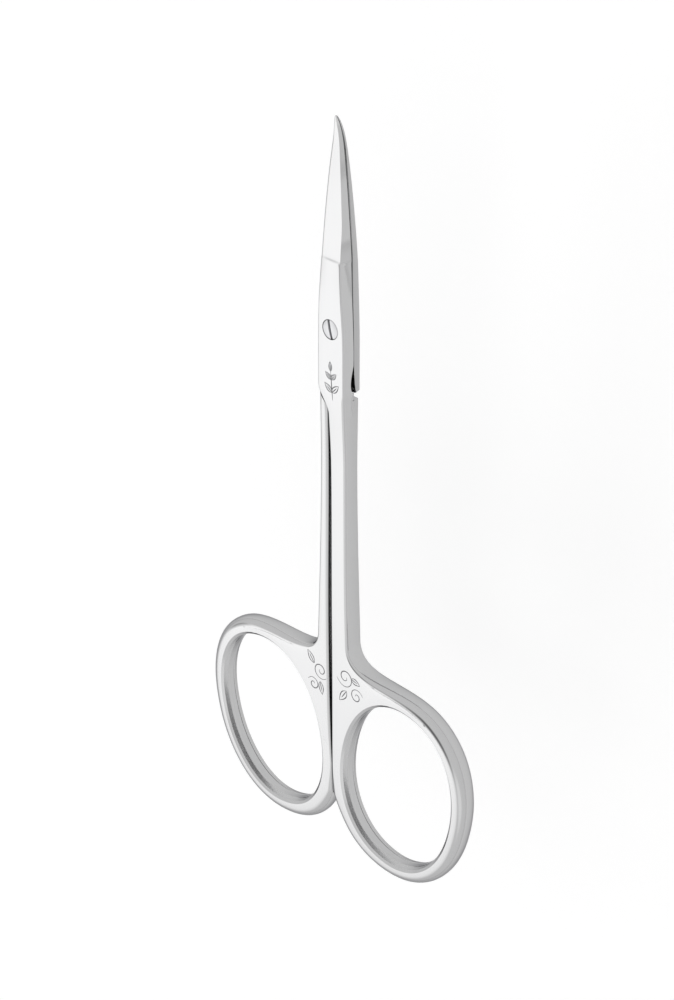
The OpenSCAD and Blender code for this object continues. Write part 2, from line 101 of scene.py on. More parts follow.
# Finger rings, with the values of the part's source. Angles are the oval's own, in degrees.
RING_X, RING_Y, HOLE_A, HOLE_B, HOLE_LEAN, OVAL_POWER = 12.65, 67.6, 10.1, 13.4, 11.8, 2.12
RING_W, RING_T, RING_R = 2.6, 3.15, 1.46
CREST_W, CREST_ANGLE, CREST_REACH = 0.2, 50.0, 54.0
FOOT_W, FOOT_ANGLE, FOOT_REACH = 0.5, 234.0, 54.0
ROUNDING_REACH = 40
HOLE_BEVEL_W, HOLE_WALL_SHARE, BEVEL_SHARE_MID, BEVEL_RISE_MID = 0.58, 0.45, 0.35, 0.7
FILLET_UPPER, FILLET_LOWER, FILLET_ANGLE = 6.7, 7.3, 74.0

# A seam is its X at the shoulder, its power, where the tail begins to narrow and how square the tail is
FRONT_SEAM = (FRONT_SEAM_X, FRONT_SEAM_POWER, FRONT_TAIL_TOP, FRONT_TAIL_POWER)
REAR_SEAM = (REAR_SEAM_X, REAR_SEAM_POWER, REAR_TAIL_TOP, REAR_TAIL_POWER)
MID_Z = BOX_T / 2
SHOULDER_LOW = SHOULDER_TOP + SHOULDER_H
NECK_Y = SHOULDER_TOP + NECK_H
TAIL_END_Y = -SHOULDER_LOW + SEAT_SHARE * SHOULDER_H
BLADE_LOW = GRIND_Y + GRIND_RUN

# Reach of the cutting tools: across, in height, and on past what they cut
FAR, DEEP, PAST = 60.0, 8.0, 1.0

# Steps of the fine skins and cuts, and the distances between rows of sections, stretch by stretch
RING_STEPS, WEB_STEPS, WEB_ROWS, EDGE_STEPS, BEVEL_STEPS = 220, 22, 60, 7, 4
LAP_STEPS, LAP_TURN_STEPS, SHOULDER_STEPS, CUT_STEPS, ROUND_STEPS, DOME_STEPS = 90, 360, 40, 32, 160, 14
SHANK_PITCH, SHOULDER_PITCH, JOINT_PITCH = 0.6, 0.13, 0.4
GRIND_PITCH, BLADE_PITCH, TIP_PITCH, TIP_RUN = 0.1, 0.3, 0.12, 4.0
SIDE_STEPS = 2 * EDGE_STEPS + 3
ROW_LEN = 2 * (WEB_STEPS + 1) + 2 * SIDE_STEPS


def lerp(a, b, t):
    return a + (b - a) * t


def clamp01(t):
    return min(1.0, max(0.0, t))


def ease(t):
    u = clamp01(t)
    return u * u * (3 - 2 * u)


def unit(v):
    v = np.asarray(v, float)
    return v / np.linalg.norm(v)


def cosd(a):
    return math.cos(math.radians(a))


def sind(a):
    return math.sin(math.radians(a))


def signed_pow(v, p):
    return math.copysign(abs(v) ** p, v)


def shares(steps):
    return [i / steps for i in range(steps + 1)]


# The ring's hole, its normal and the ring's width, by the oval's own angle
SLANT_MIN = 0.01    # keeps the flat's width finite where the ring doesn't face the other one
LEAN_C, LEAN_S = cosd(HOLE_LEAN), -sind(HOLE_LEAN)
SEAM_ANGLE = 180 + math.degrees(math.atan2(-HOLE_B * LEAN_S, HOLE_A * LEAN_C))


def hole_at(a):
    u = HOLE_A * signed_pow(cosd(a), 2 / OVAL_POWER)
    v = HOLE_B * signed_pow(sind(a), 2 / OVAL_POWER)
    return np.array([RING_X + u * LEAN_C - v * LEAN_S, -RING_Y + u * LEAN_S + v * LEAN_C])


def hole_normal(a):
    d = hole_at(a + 1) - hole_at(a - 1)
    return unit([d[1], -d[0]])


def swell(a, at, reach):
    return 1 - ease(abs(a - at) / reach)


def ring_width(a):
    """The ring's own width, or less where it is ground flat against the other ring."""
    free = RING_W + FOOT_W * swell(a, FOOT_ANGLE, FOOT_REACH) + CREST_W * (
        swell(a, CREST_ANGLE, CREST_REACH) + swell(a, CREST_ANGLE + 360, CREST_REACH))
    flat = (hole_at(a)[0] - TOUCH_GAP) / max(SLANT_MIN, -hole_normal(a)[0])
    return min(free, flat)


def ring_rounding(a):
    return RING_R if a < SEAM_ANGLE else lerp(SEAM_R, RING_R, ease((a - SEAM_ANGLE) / ROUNDING_REACH))


def ring_outer(a):
    return hole_at(a) + hole_normal(a) * ring_width(a)


# Outlines and thickness along the length, as X or half a thickness for a given Y
SEAM_END = ring_outer(SEAM_ANGLE)


def seam_x(y, seam):
    t = clamp01((-SHOULDER_LOW - y) / (-SHOULDER_LOW - SEAM_END[1]))
    return lerp(seam[0], SEAM_END[0], t ** seam[1])


def blade_half(y, bow, point):
    u = clamp01((y - NARROW_Y) / (TIP_Y - NARROW_Y))
    return lerp(TIP_W / 2, BOX_W / 2, (1 - u ** bow) ** point)


def shank_x(y):
    if y > -NECK_Y:
        return lerp(WAIST_X, BOX_W / 2, ease((y + NECK_Y) / NECK_H))
    return lerp(WAIST_X, HEEL_X, clamp01((-NECK_Y - y) / (HEEL_Y - NECK_Y)) ** HEEL_FLARE)


def right_x(y):
    return blade_half(y, EDGE_BOW, EDGE_POINT) if y > -SHOULDER_TOP else shank_x(y)


def tail_x(y, seam):
    t = (y + SHOULDER_LOW) / (SHOULDER_LOW - seam[2])
    return lerp(seam[0], -BOX_W / 2, ease(t) ** seam[3])


def left_x(y, seam):
    if y > -SHOULDER_TOP:
        return -blade_half(y, SPINE_BOW, SPINE_POINT)
    return tail_x(y, seam) if y > -SHOULDER_LOW else seam_x(y, seam)


PROBE = 0.05    # distance to both sides over which an outline's slope is taken


def left_normal(y):
    """The spine's own normal. Tails and seams keep one direction, so that no row folds over the next."""
    if y <= NARROW_Y:
        return np.array([-1.0, 0.0])
    drop = blade_half(y - PROBE, SPINE_BOW, SPINE_POINT) - blade_half(y + PROBE, SPINE_BOW, SPINE_POINT)
    return unit([-2 * PROBE, drop])


def right_normal(y):
    return unit([2 * PROBE, right_x(y - PROBE) - right_x(y + PROBE)])


def ground(y):
    """0 in the joint and 1 on the ground face of the blade."""
    return ease((y - GRIND_Y) / GRIND_RUN)


def joint_t(y):
    u = clamp01((y - FALL_START) / (GRIND_Y - FALL_START))
    return BOX_T / 2 - FACE_FALL * u ** FALL_POWER


def blade_t(y):
    u = clamp01((y - GRIND_Y) / (TIP_Y - GRIND_Y))
    return lerp(TIP_T, BLADE_ROOT_T, (1 - u) ** BLADE_THINNING)


def shank_t(y, top_t):
    if y > -WAIST_Y:
        return lerp(top_t, WAIST_T, ease((-SHOULDER_TOP - y) / (WAIST_Y - SHOULDER_TOP))) / 2
    return lerp(WAIST_T, HEEL_T, ease((-WAIST_Y - y) / (HEEL_Y - WAIST_Y))) / 2


def face_t(y):
    return lerp(joint_t(y), blade_t(y), ground(y)) if y > -SHOULDER_TOP else shank_t(y, BOX_T)


def back_t(y):
    return face_t(y) * NECK_T / BOX_T if y > -SHOULDER_TOP else shank_t(y, NECK_T)


# Rounding and lean of both sides. A rounding or bevel takes at most its share of the thickness or width.
ROUNDING_MAX_SHARE, BEVEL_MAX_SHARE, GROOVE_MAX_SHARE = 0.6, 0.8, 0.3


def left_share(y):
    """0 on the shank and 1 above the shoulder's slope."""
    return ease((y + SHOULDER_LOW) / SHOULDER_H)


def left_r(y, t, inner_r):
    return min(lerp(inner_r, SPINE_R, left_share(y)), ROUNDING_MAX_SHARE * t)


def left_lean(y, t):
    return left_share(y) * SPINE_SLOPE * t


def right_r(y, shank_r):
    return lerp(shank_r, BOX_EDGE_R, ease((y + NECK_Y) / NECK_H))


def right_lean(y):
    if y > 0:
        return lerp(SIDE_LEAN, SIDE_LEAN_END, clamp01(y / GRIND_Y))
    return lerp(SHANK_CROWN, SIDE_LEAN, ease((y + NECK_Y) / NECK_H))


def edge_bevel(y):
    wide = lerp(BEVEL_W, ROOT_BEVEL_W, ease((GRIND_Y + ROOT_BEVEL_RUN - y) / ROOT_BEVEL_RUN))
    return min(wide, BEVEL_MAX_SHARE * blade_half(y, EDGE_BOW, EDGE_POINT))


def groove_at(y, t):
    """The chamfer beside the lap plane: only where the halves lap, and less on the thin tip."""
    return min(GROOVE_W, GROOVE_MAX_SHARE * t) * ease((y + SHOULDER_LOW) / GROOVE_RUN)


def bend_at(r):
    """The blades' curve: height over distance from the pivot axis, so that the laps slide on each other."""
    hook = clamp01((r - HOOK_START) / (TIP_Y - HOOK_START)) ** HOOK_POWER
    return (BOW_DEPTH + HOOK_H) * hook - BOW_DEPTH * ease((r - BOW_START) / (BOW_R - BOW_START))


# A side's strip of points, from the face to the middle of the wall, as (outward, up). The wall leans: it
# stands out by its lean at the middle of the thickness.
GROOVE_SLOPE = 1.3                   # height of the groove beside the lap, as a share of its depth
EDGE_GROOVE_SHARE = 0.3              # what a ground edge keeps of the groove
LAND_KNEE_X, LAND_KNEE_Z = 0.3, 0.6  # where a ground edge's land turns into the groove, as shares of both
THIN = 1e-6                          # keeps a division from zero where a wall has no height


def round_strip(r, t, lean, groove=0.0):
    arc = [(r * (cosd(a) - 1) - lean, t - r * (1 - sind(a)))
           for a in (90 - 90 * i / EDGE_STEPS for i in range(1, EDGE_STEPS + 1))]
    wall_low = groove * GROOVE_SLOPE
    wall = -lean * wall_low / max(t - r, THIN)
    return arc + [(wall, wall_low), (-groove, 0.0)]


def bevel_strip(w, t, groove=0.0):
    slope = [(-w * (1 - s), lerp(t, EDGE_LAND, s)) for s in shares(EDGE_STEPS)[1:]]
    return slope + [(-groove * LAND_KNEE_X, EDGE_LAND * LAND_KNEE_Z), (-groove, 0.0)]


def both_faces(upper, lower):
    return upper + [(p[0], -p[1]) for p in reversed(lower[:-1])]


def mixed(a, b, t):
    return [(lerp(p[0], q[0], t), lerp(p[1], q[1], t)) for p, q in zip(a, b)]


def side_points(p, n, strip):
    return [(p[0] + n[0] * s[0], p[1] + n[1] * s[0], s[1]) for s in strip]


def row_loop(face, t, back, crowns, right, left):
    """One closed loop of a row. crowns: how far the outer face swells in its middle, and the other one."""
    swell_at = [4 * share * (1 - share) for share in ARC_SHARE]
    upper = [(p[0], p[1], t + crowns[0] * c) for p, c in zip(face, swell_at)]
    lower = [(p[0], p[1], -back - crowns[1] * c) for p, c in zip(face, swell_at)]
    return upper + right + lower[::-1] + left[::-1]


# The ring: angles, then one closed loop for each, from the hole's wall to the outer side
FREE_SPAN = 360 - (SEAM_ANGLE - FILLET_ANGLE)
RING_ANGLES = ([lerp(FILLET_ANGLE, SEAM_ANGLE, i / WEB_STEPS) for i in range(WEB_STEPS)]
               + [SEAM_ANGLE + FREE_SPAN * i / RING_STEPS for i in range(RING_STEPS)])
CREASE_TOP_SHARE = 0.3    # share of the crease's height that lies above its deepest line


def hole_side():
    """From the hole's wall over the crease and up the bevel to the face, as (outward, up)."""
    h = RING_T / 2
    wall_h = h * HOLE_WALL_SHARE
    pts = [(0.0, 0.0), (0.0, 0.5 * wall_h), (0.0, wall_h - CREASE_H)]
    pts += [(CREASE_D, wall_h - CREASE_TOP_SHARE * CREASE_H)]
    middle = (HOLE_BEVEL_W * BEVEL_SHARE_MID, lerp(wall_h, h, BEVEL_RISE_MID))
    knots = [np.array(k) for k in ((CREASE_LIP, wall_h), middle, (HOLE_BEVEL_W, h))]
    for a, b in zip(knots, knots[1:]):
        pts += [tuple(lerp(a, b, i / BEVEL_STEPS)) for i in range(BEVEL_STEPS)]
    return pts + [tuple(knots[-1])]


HOLE_SIDE = hole_side()
FACE_AT = 2 * len(HOLE_SIDE) - 1
RING_LEN = FACE_AT + 2 + SIDE_STEPS


def ring_loop(a):
    w, r, h = ring_width(a), ring_rounding(a), RING_T / 2
    low = [(s[0], -s[1]) for s in HOLE_SIDE[:0:-1]]
    outer = [(w + s[0], s[1]) for s in both_faces(round_strip(r, h, 0), round_strip(r, h, 0))]
    return side_points(hole_at(a), hole_normal(a), low + HOLE_SIDE + [(w - r, h)] + outer + [(w - r, -h)])


# The web: rows between the ring and the shank, along a curve that joins ring and shank
FILLET_END = ring_outer(FILLET_ANGLE)
FILLET_NORMAL = hole_normal(FILLET_ANGLE)
FILLET_START = np.array([shank_x(-HEEL_Y), -HEEL_Y])
FILLET_PTS = [FILLET_END, FILLET_END + np.array([-FILLET_NORMAL[1], FILLET_NORMAL[0]]) * FILLET_LOWER,
              FILLET_START - np.array([0, FILLET_UPPER]), FILLET_START]
SEAM_BLEND = 3    # how many times faster than the web the seam's rounding changes


def bezier(p, t):
    return (1 - t) ** 3 * p[0] + 3 * (1 - t) ** 2 * t * p[1] + 3 * (1 - t) * t * t * p[2] + t ** 3 * p[3]


def bezier_slope(p, t):
    return (1 - t) ** 2 * (p[1] - p[0]) + 2 * (1 - t) * t * (p[2] - p[1]) + t * t * (p[3] - p[2])


ARC_FACE = [hole_at(RING_ANGLES[i]) + hole_normal(RING_ANGLES[i])
            * (ring_width(RING_ANGLES[i]) - (SEAM_R if i == WEB_STEPS else RING_R))
            for i in range(WEB_STEPS, -1, -1)]
ARC_RUN = np.concatenate([[0], np.cumsum([np.linalg.norm(b - a) for a, b in zip(ARC_FACE, ARC_FACE[1:])])])
ARC_SHARE = ARC_RUN / ARC_RUN[-1]
ARC_BULGE = [p - lerp(ARC_FACE[0], ARC_FACE[-1], share) for p, share in zip(ARC_FACE, ARC_SHARE)]


def web_row(s, seam, radii, crowns):
    """radii holds the shank's and the inner edge's radius, for the outer face and for the other one."""
    t = lerp(RING_T, HEEL_T, ease(s)) / 2
    slope = bezier_slope(FILLET_PTS, s)
    rn = unit([slope[1], -slope[0]])
    y = lerp(SEAM_END[1], -HEEL_Y, s)
    lp = np.array([seam_x(y, seam), y])
    outer_r = [lerp(RING_R, shank_r, ease(s)) for shank_r, inner_r in radii]
    seam_r = [lerp(SEAM_R, inner_r, ease(SEAM_BLEND * s)) for shank_r, inner_r in radii]
    crown = SHANK_CROWN * ease(s)
    rp = bezier(FILLET_PTS, s)
    fl = lp + np.array([max(seam_r), 0])
    fr = rp - rn * (max(outer_r) + crown)
    face = [lerp(fl, fr, share) + (1 - s) ** 2 * bulge for share, bulge in zip(ARC_SHARE, ARC_BULGE)]
    right = both_faces(*(round_strip(r, t, crown) for r in outer_r))
    left = both_faces(*(round_strip(r, t, 0) for r in seam_r))
    return row_loop(face, t, t, [c * ease(s) for c in crowns], side_points(rp, rn, right),
                    side_points(lp, np.array([-1.0, 0.0]), left))


# Shank, joint and blade: straight rows
def left_strip(y, t, inner_r):
    return round_strip(left_r(y, t, inner_r), t, left_lean(y, t), groove_at(y, t))


def right_strip(y, t, shank_r):
    groove = groove_at(y, t)
    rounded = round_strip(right_r(y, shank_r), t, right_lean(y), groove)
    return mixed(rounded, bevel_strip(edge_bevel(y), t, EDGE_GROOVE_SHARE * groove), ground(y))


def straight_row(y, seam, radii, crowns):
    """radii and crowns as in web_row."""
    t, back = face_t(y), back_t(y)
    shank_r, inner_r = (max(pair) for pair in zip(*radii))
    ln, rn = left_normal(y), right_normal(y)
    lp, rp = np.array([left_x(y, seam), y]), np.array([right_x(y), y])
    fl = lp - ln * (left_r(y, t, inner_r) + left_lean(y, t))
    fr = rp - rn * lerp(right_r(y, shank_r) + right_lean(y), edge_bevel(y), ground(y))
    face = [lerp(fl, fr, share) for share in ARC_SHARE]
    right = both_faces(*(right_strip(y, h, pair[0]) for h, pair in zip((t, back), radii)))
    left = both_faces(*(left_strip(y, h, pair[1]) for h, pair in zip((t, back), radii)))
    return row_loop(face, t, back, [c * (1 - ground(y)) for c in crowns], side_points(rp, rn, right),
                    side_points(lp, ln, left))


def spaced(start, end, step):
    n = max(1, round(abs(end - start) / step))
    return [lerp(start, end, i / n) for i in range(1, n + 1)]


ROW_YS = (spaced(-HEEL_Y, -SHOULDER_LOW, SHANK_PITCH) + spaced(-SHOULDER_LOW, -SHOULDER_TOP, SHOULDER_PITCH)
          + spaced(-SHOULDER_TOP, GRIND_Y, JOINT_PITCH) + spaced(GRIND_Y, BLADE_LOW, GRIND_PITCH)
          + spaced(BLADE_LOW, TIP_Y - TIP_RUN, BLADE_PITCH) + spaced(TIP_Y - TIP_RUN, TIP_Y, TIP_PITCH))


# The whole skin. The first row of the web is the ring's own edge.
def ring_index(i, j):
    return (i % len(RING_ANGLES)) * RING_LEN + j % RING_LEN


def row_index(k, j):
    j %= ROW_LEN
    if k:
        return len(RING_ANGLES) * RING_LEN + (k - 1) * ROW_LEN + j
    if j <= WEB_STEPS:
        return ring_index(WEB_STEPS - j, FACE_AT)
    if j <= WEB_STEPS + SIDE_STEPS:
        return ring_index(0, FACE_AT + j - WEB_STEPS)
    if j <= 2 * WEB_STEPS + 1 + SIDE_STEPS:
        return ring_index(j - WEB_STEPS - SIDE_STEPS - 1, FACE_AT + SIDE_STEPS + 1)
    return ring_index(WEB_STEPS, FACE_AT + ROW_LEN - j)


def quad(index, i, j):
    return index(i, j), index(i, j + 1), index(i + 1, j + 1), index(i + 1, j)


def cap_faces(k):
    """Closes the tip: quads between both faces, and a fan over each side."""
    back = 2 * WEB_STEPS + 1 + SIDE_STEPS
    faces = [(row_index(k, i), row_index(k, i + 1), row_index(k, back - i - 1), row_index(k, back - i))
             for i in range(WEB_STEPS)]
    for corner, first in ((WEB_STEPS, WEB_STEPS + 1), (back, back + 1)):
        faces += [(row_index(k, corner), row_index(k, first + i), row_index(k, first + i + 1))
                  for i in range(SIDE_STEPS)]
    return faces


def half_skin(seam, facing):
    """Points and faces of one closed half. facing is 1 for the front one and -1 for the rear one."""
    radii = ((SHANK_FACE_R, SEAM_R if facing > 0 else INNER_FACE_R), (SHANK_R, SEAM_R))[::facing]
    crowns = (FACE_CROWN, 0.0)[::facing]
    loops = ([ring_loop(a) for a in RING_ANGLES]
             + [web_row(i / WEB_ROWS, seam, radii, crowns) for i in range(1, WEB_ROWS + 1)]
             + [straight_row(y, seam, radii, crowns) for y in ROW_YS])
    pts = np.array([p for loop in loops for p in loop])
    bend = np.array([bend_at(math.hypot(p[0], p[1])) if p[1] > 0 else 0.0 for p in pts])
    bent = np.column_stack([facing * pts[:, 0], pts[:, 1], MID_Z + facing * pts[:, 2] + bend])
    rows = WEB_ROWS + len(ROW_YS)
    faces = [quad(ring_index, i, j) for i in range(len(RING_ANGLES)) for j in range(RING_LEN)
             if i >= WEB_STEPS or j < FACE_AT or j > FACE_AT + SIDE_STEPS]
    faces += [quad(row_index, k, j) for k in range(rows) for j in range(ROW_LEN)]
    return bent, faces + cap_faces(rows)


# Meshes and cuts
def mesh_object(name, points, faces):
    mesh = bpy.data.meshes.new(name)
    mesh.from_pydata([tuple(p * MM) for p in np.asarray(points, float)], [], faces)
    mesh.validate()
    mesh.update()
    obj = bpy.data.objects.new(name, mesh)
    bpy.context.scene.collection.objects.link(obj)
    return obj


def closed_object(name, points, faces):
    """A closed mesh with its faces turned outward."""
    obj = mesh_object(name, points, faces)
    bm = bmesh.new()
    bm.from_mesh(obj.data)
    bmesh.ops.recalc_face_normals(bm, faces=bm.faces)
    bm.to_mesh(obj.data)
    bm.free()
    return obj


def combine(obj, tool, operation):
    """A boolean with its result applied. The tool goes."""
    mod = obj.modifiers.new("cut", "BOOLEAN")
    mod.operation, mod.solver, mod.object = operation, "MANIFOLD", tool
    depsgraph = bpy.context.evaluated_depsgraph_get()
    mesh = bpy.data.meshes.new_from_object(obj.evaluated_get(depsgraph))
    old = obj.data
    obj.modifiers.clear()
    obj.data = mesh
    bpy.data.meshes.remove(old)
    bpy.data.objects.remove(tool)
    if not len(obj.data.polygons):
        raise RuntimeError("a cut left nothing of " + obj.name)
    return obj


def prism(name, outline, low, high, place):
    """A closed prism over an outline in two directions. place(a, b, c) gives a point, c along its length."""
    n = len(outline)
    pts = [place(p[0], p[1], low) for p in outline] + [place(p[0], p[1], high) for p in outline]
    faces = [tuple(range(n))[::-1], tuple(range(n, 2 * n))]
    faces += [(i, (i + 1) % n, n + (i + 1) % n, n + i) for i in range(n)]
    return closed_object(name, pts, faces)


def revolved(name, profile, steps):
    """A closed body turned about the Z axis. The profile runs from axis to axis as (radius, height)."""
    turns = [2 * math.pi * i / steps for i in range(steps)]
    pts = [(0, 0, profile[0][1])]
    for r, z in profile[1:-1]:
        pts += [(r * math.cos(turn), r * math.sin(turn), z) for turn in turns]
    pts.append((0, 0, profile[-1][1]))
    rings = len(profile) - 2
    faces = [(0, 1 + (i + 1) % steps, 1 + i) for i in range(steps)]
    for k in range(rings - 1):
        a, b = 1 + k * steps, 1 + (k + 1) * steps
        faces += [(a + i, a + (i + 1) % steps, b + (i + 1) % steps, b + i) for i in range(steps)]
    last = 1 + (rings - 1) * steps
    faces += [(last + i, last + (i + 1) % steps, len(pts) - 1) for i in range(steps)]
    return closed_object(name, pts, faces)


def bore(radius, low, high):
    return revolved("bore", [(0, low), (radius, low), (radius, high), (0, high)], ROUND_STEPS)


def other_side(facing):
    """The other half's share of the joint: everything past this half's side of the curved lap."""
    end = TIP_Y + PAST
    lap_z = MID_Z + facing * LAP_GAP / 2
    lap = [(r, lap_z + bend_at(r)) for r in (lerp(BOW_START, end, s) for s in shares(LAP_STEPS))]
    profile = [(0, lap_z)] + lap + [(end, -facing * DEEP), (0, -facing * DEEP)]
    return revolved("other_side", profile, LAP_TURN_STEPS)


def lap_block(other_seam, gap, side):
    """The block that the lap is cut in: past the tail of the other half, with the shoulder's gap."""
    tail = [(-tail_x(y, other_seam), y - gap)
            for y in (lerp(-SHOULDER_LOW, TAIL_END_Y, s) for s in shares(SHOULDER_STEPS))]
    outline = [(-FAR, -SHOULDER_LOW - gap)] + tail + [(FAR, TAIL_END_Y - gap), (FAR, FAR), (-FAR, FAR)]
    return prism("lap_block", outline, -DEEP, DEEP, lambda a, b, c: (side * a, b, c))


def lap_cut(curve, up, side):
    """A cut from the lap by a curve of depth over Y, on one side of the pivot plane."""
    outline = [(-up * d, y) for y, d in curve] + [(up * PAST, curve[-1][0]), (up * PAST, curve[0][0])]
    return prism("lap_cut", outline, 0.0, FAR, lambda a, b, c: (side * c, b, MID_Z - a))


SCOOP_CURVE = [(lerp(-SCOOP_LOW, -SCOOP_TOP, t), SCOOP_DEPTH * sind(180 * t ** SCOOP_SKEW))
               for t in shares(CUT_STEPS)]


def tail_curve(end_y, depth, past):
    """A tail's rounding, a quarter of an ellipse down to its end. The cut runs on level past the end."""
    return [(end_y - past, depth)] + [(lerp(-SCOOP_TOP, end_y, cosd(a)), depth * (1 - sind(a)))
                                      for a in (90 * i / CUT_STEPS for i in range(CUT_STEPS + 1))]


HALF_SHARP, SCREW_SHARP = 32, 28    # angles in degrees from which an edge stays sharp


def smooth(obj, sharp):
    obj.data.shade_smooth()
    obj.data.set_sharp_from_angle(angle=math.radians(sharp))


def make_half(name, seam, other_seam, gap, tail, facing):
    obj = closed_object(name, *half_skin(seam, facing))
    lap = combine(other_side(facing), lap_block(other_seam, gap, facing), "INTERSECT")
    combine(obj, lap, "DIFFERENCE")
    combine(obj, lap_cut(SCOOP_CURVE, facing, facing), "DIFFERENCE")
    combine(obj, lap_cut(tail, facing, -facing), "DIFFERENCE")
    if facing > 0:
        combine(obj, bore(SHANK_D / 2 + PIVOT_GAP, -DEEP, DEEP), "DIFFERENCE")
        combine(obj, bore(HEAD_D / 2 + HEAD_GAP, BOX_T - HEAD_H - LAP_GAP / 2, DEEP), "DIFFERENCE")
    else:
        combine(obj, bore(SHANK_D / 2 + THREAD_GAP, -DEEP, DEEP), "DIFFERENCE")
    smooth(obj, HALF_SHARP)
    return obj


front = make_half("front_half_skin", FRONT_SEAM, REAR_SEAM, FRONT_GAP,
                  tail_curve(TAIL_END_Y, FRONT_TAIL_DEPTH, LAP_GAP), 1)
rear = make_half("rear_half_skin", REAR_SEAM, FRONT_SEAM, REAR_GAP,
                 tail_curve(-REAR_TAIL_Y, REAR_TAIL_DEPTH, FRONT_GAP), -1)

# Points of the head's rounded rim, from its side to the dome, in degrees. The dome's rings run from a share
# of its radius to the eye's radius.
RIM_ANGLES = (90, 70, 50, 30, 12)
DOME_START, DOME_EYE = 0.995, 0.1


def screw_profile():
    seat = BOX_T - HEAD_H
    dome_r = (HEAD_D ** 2 / 4 + HEAD_DOME ** 2) / (2 * HEAD_DOME)
    centre_z = BOX_T + HEAD_DOME - dome_r
    rim_in = HEAD_D / 2 - HEAD_RIM_R
    rim_z = centre_z + math.sqrt(dome_r ** 2 - rim_in ** 2)
    shank = [(0, 0.0), (SHANK_D / 2 - SCREW_END_W, 0.0), (SHANK_D / 2, SCREW_END_W), (SHANK_D / 2, seat)]
    rim = [(HEAD_D / 2 - HEAD_RIM_R * (1 - sind(a)), rim_z - HEAD_RIM_R * (1 - cosd(a))) for a in RIM_ANGLES]
    dome = [(r, centre_z + math.sqrt(dome_r ** 2 - r * r))
            for r in np.linspace(rim_in * DOME_START, DOME_EYE, DOME_STEPS)]
    return shank + [(HEAD_D / 2, seat)] + rim + dome + [(0, BOX_T + HEAD_DOME)]


def make_screw():
    obj = revolved("pivot_screw_detail", screw_profile(), ROUND_STEPS)
    half, low, top = SLOT_W / 2, BOX_T - SLOT_H, BOX_T + HEAD_DOME
    wall = [(half - SLOT_FOOT_W, low), (half, low + SLOT_FOOT_W), (half, top - SLOT_LIP_LOW),
            (half + SLOT_LIP_W, top - SLOT_LIP_HIGH), (half + SLOT_LIP_W, top + PAST)]
    outline = wall + [(-x, z) for x, z in reversed(wall)]
    c, s = cosd(SLOT_ANGLE), sind(SLOT_ANGLE)
    slot = prism("slot", outline, -2 * HEAD_D, 2 * HEAD_D, lambda a, b, l: (l * c - a * s, l * s + a * c, b))
    combine(obj, slot, "DIFFERENCE")
    smooth(obj, SCREW_SHARP)
    return obj


screw = make_screw()

# Engraved ornament: plain sprigs and scrolls. A line's height and depth are measured from the face.
LINE_W, LINE_UP, LINE_DOWN, LINE_STEPS = 0.16, 0.006, 0.03, 16
LINE_END_SHARE = 0.35                # a line's width at its ends, as a share of its full width
LEAF_SKEW = 0.8                      # below 1 for a leaf that is widest near its foot
MIDRIB_SHARE = 0.7                   # a midrib's length, as a share of its leaf's
SCROLL_STEPS = 26                    # steps in each turn
SCROLL_WIND = 0.85                   # share of the radius that a scroll winds in
PAIR_START, PAIR_ANGLE = 0.6, 48     # share of its stretch where a pair of leaves is, and how it spreads
STEM_SHARE = 0.9                     # share of the stem that the pairs have
LEAF_SHRINK = 0.4                    # how much smaller a pair at the end would be
END_LEAF_L, END_LEAF_W = 0.7, 0.6    # the end's leaf, as shares of a pair's


def turned(point, angle, at):
    c, s = cosd(angle), sind(angle)
    return np.array([at[0] + point[0] * c - point[1] * s, at[1] + point[0] * s + point[1] * c])


def leaf(at, angle, length, width):
    """Two bowed edges and a midrib."""
    edges = [[turned((length * t, side * width * sind(180 * t ** LEAF_SKEW)), angle, at)
              for t in shares(LINE_STEPS)] for side in (-1, 1)]
    return edges + [[turned((length * t * MIDRIB_SHARE, 0.0), angle, at) for t in shares(LINE_STEPS)]]


def scroll(at, angle, radius, turns, hand):
    """A spiral that winds in from its outer end. hand is 1 for anticlockwise and -1 for clockwise."""
    line = []
    for t in shares(int(SCROLL_STEPS * turns)):
        r, way = radius * (1 - SCROLL_WIND * t), 360 * turns * t
        line.append(turned((r * cosd(way), hand * r * sind(way)), angle, at))
    return line


def sprig(at, angle, length, pairs, leaf_l, leaf_w):
    """A stem with leaves in pairs, smaller towards its end, and one leaf on the end."""
    strokes = [[turned((length * t, 0.0), angle, at) for t in shares(LINE_STEPS)]]
    for i in range(pairs):
        share = (i + PAIR_START) / pairs
        size = 1 - LEAF_SHRINK * share
        foot = turned((length * share * STEM_SHARE, 0.0), angle, at)
        for side in (-1, 1):
            strokes += leaf(foot, angle + side * PAIR_ANGLE, leaf_l * size, leaf_w * size)
    return strokes + leaf(turned((length, 0.0), angle, at), angle, leaf_l * END_LEAF_L, leaf_w * END_LEAF_W)


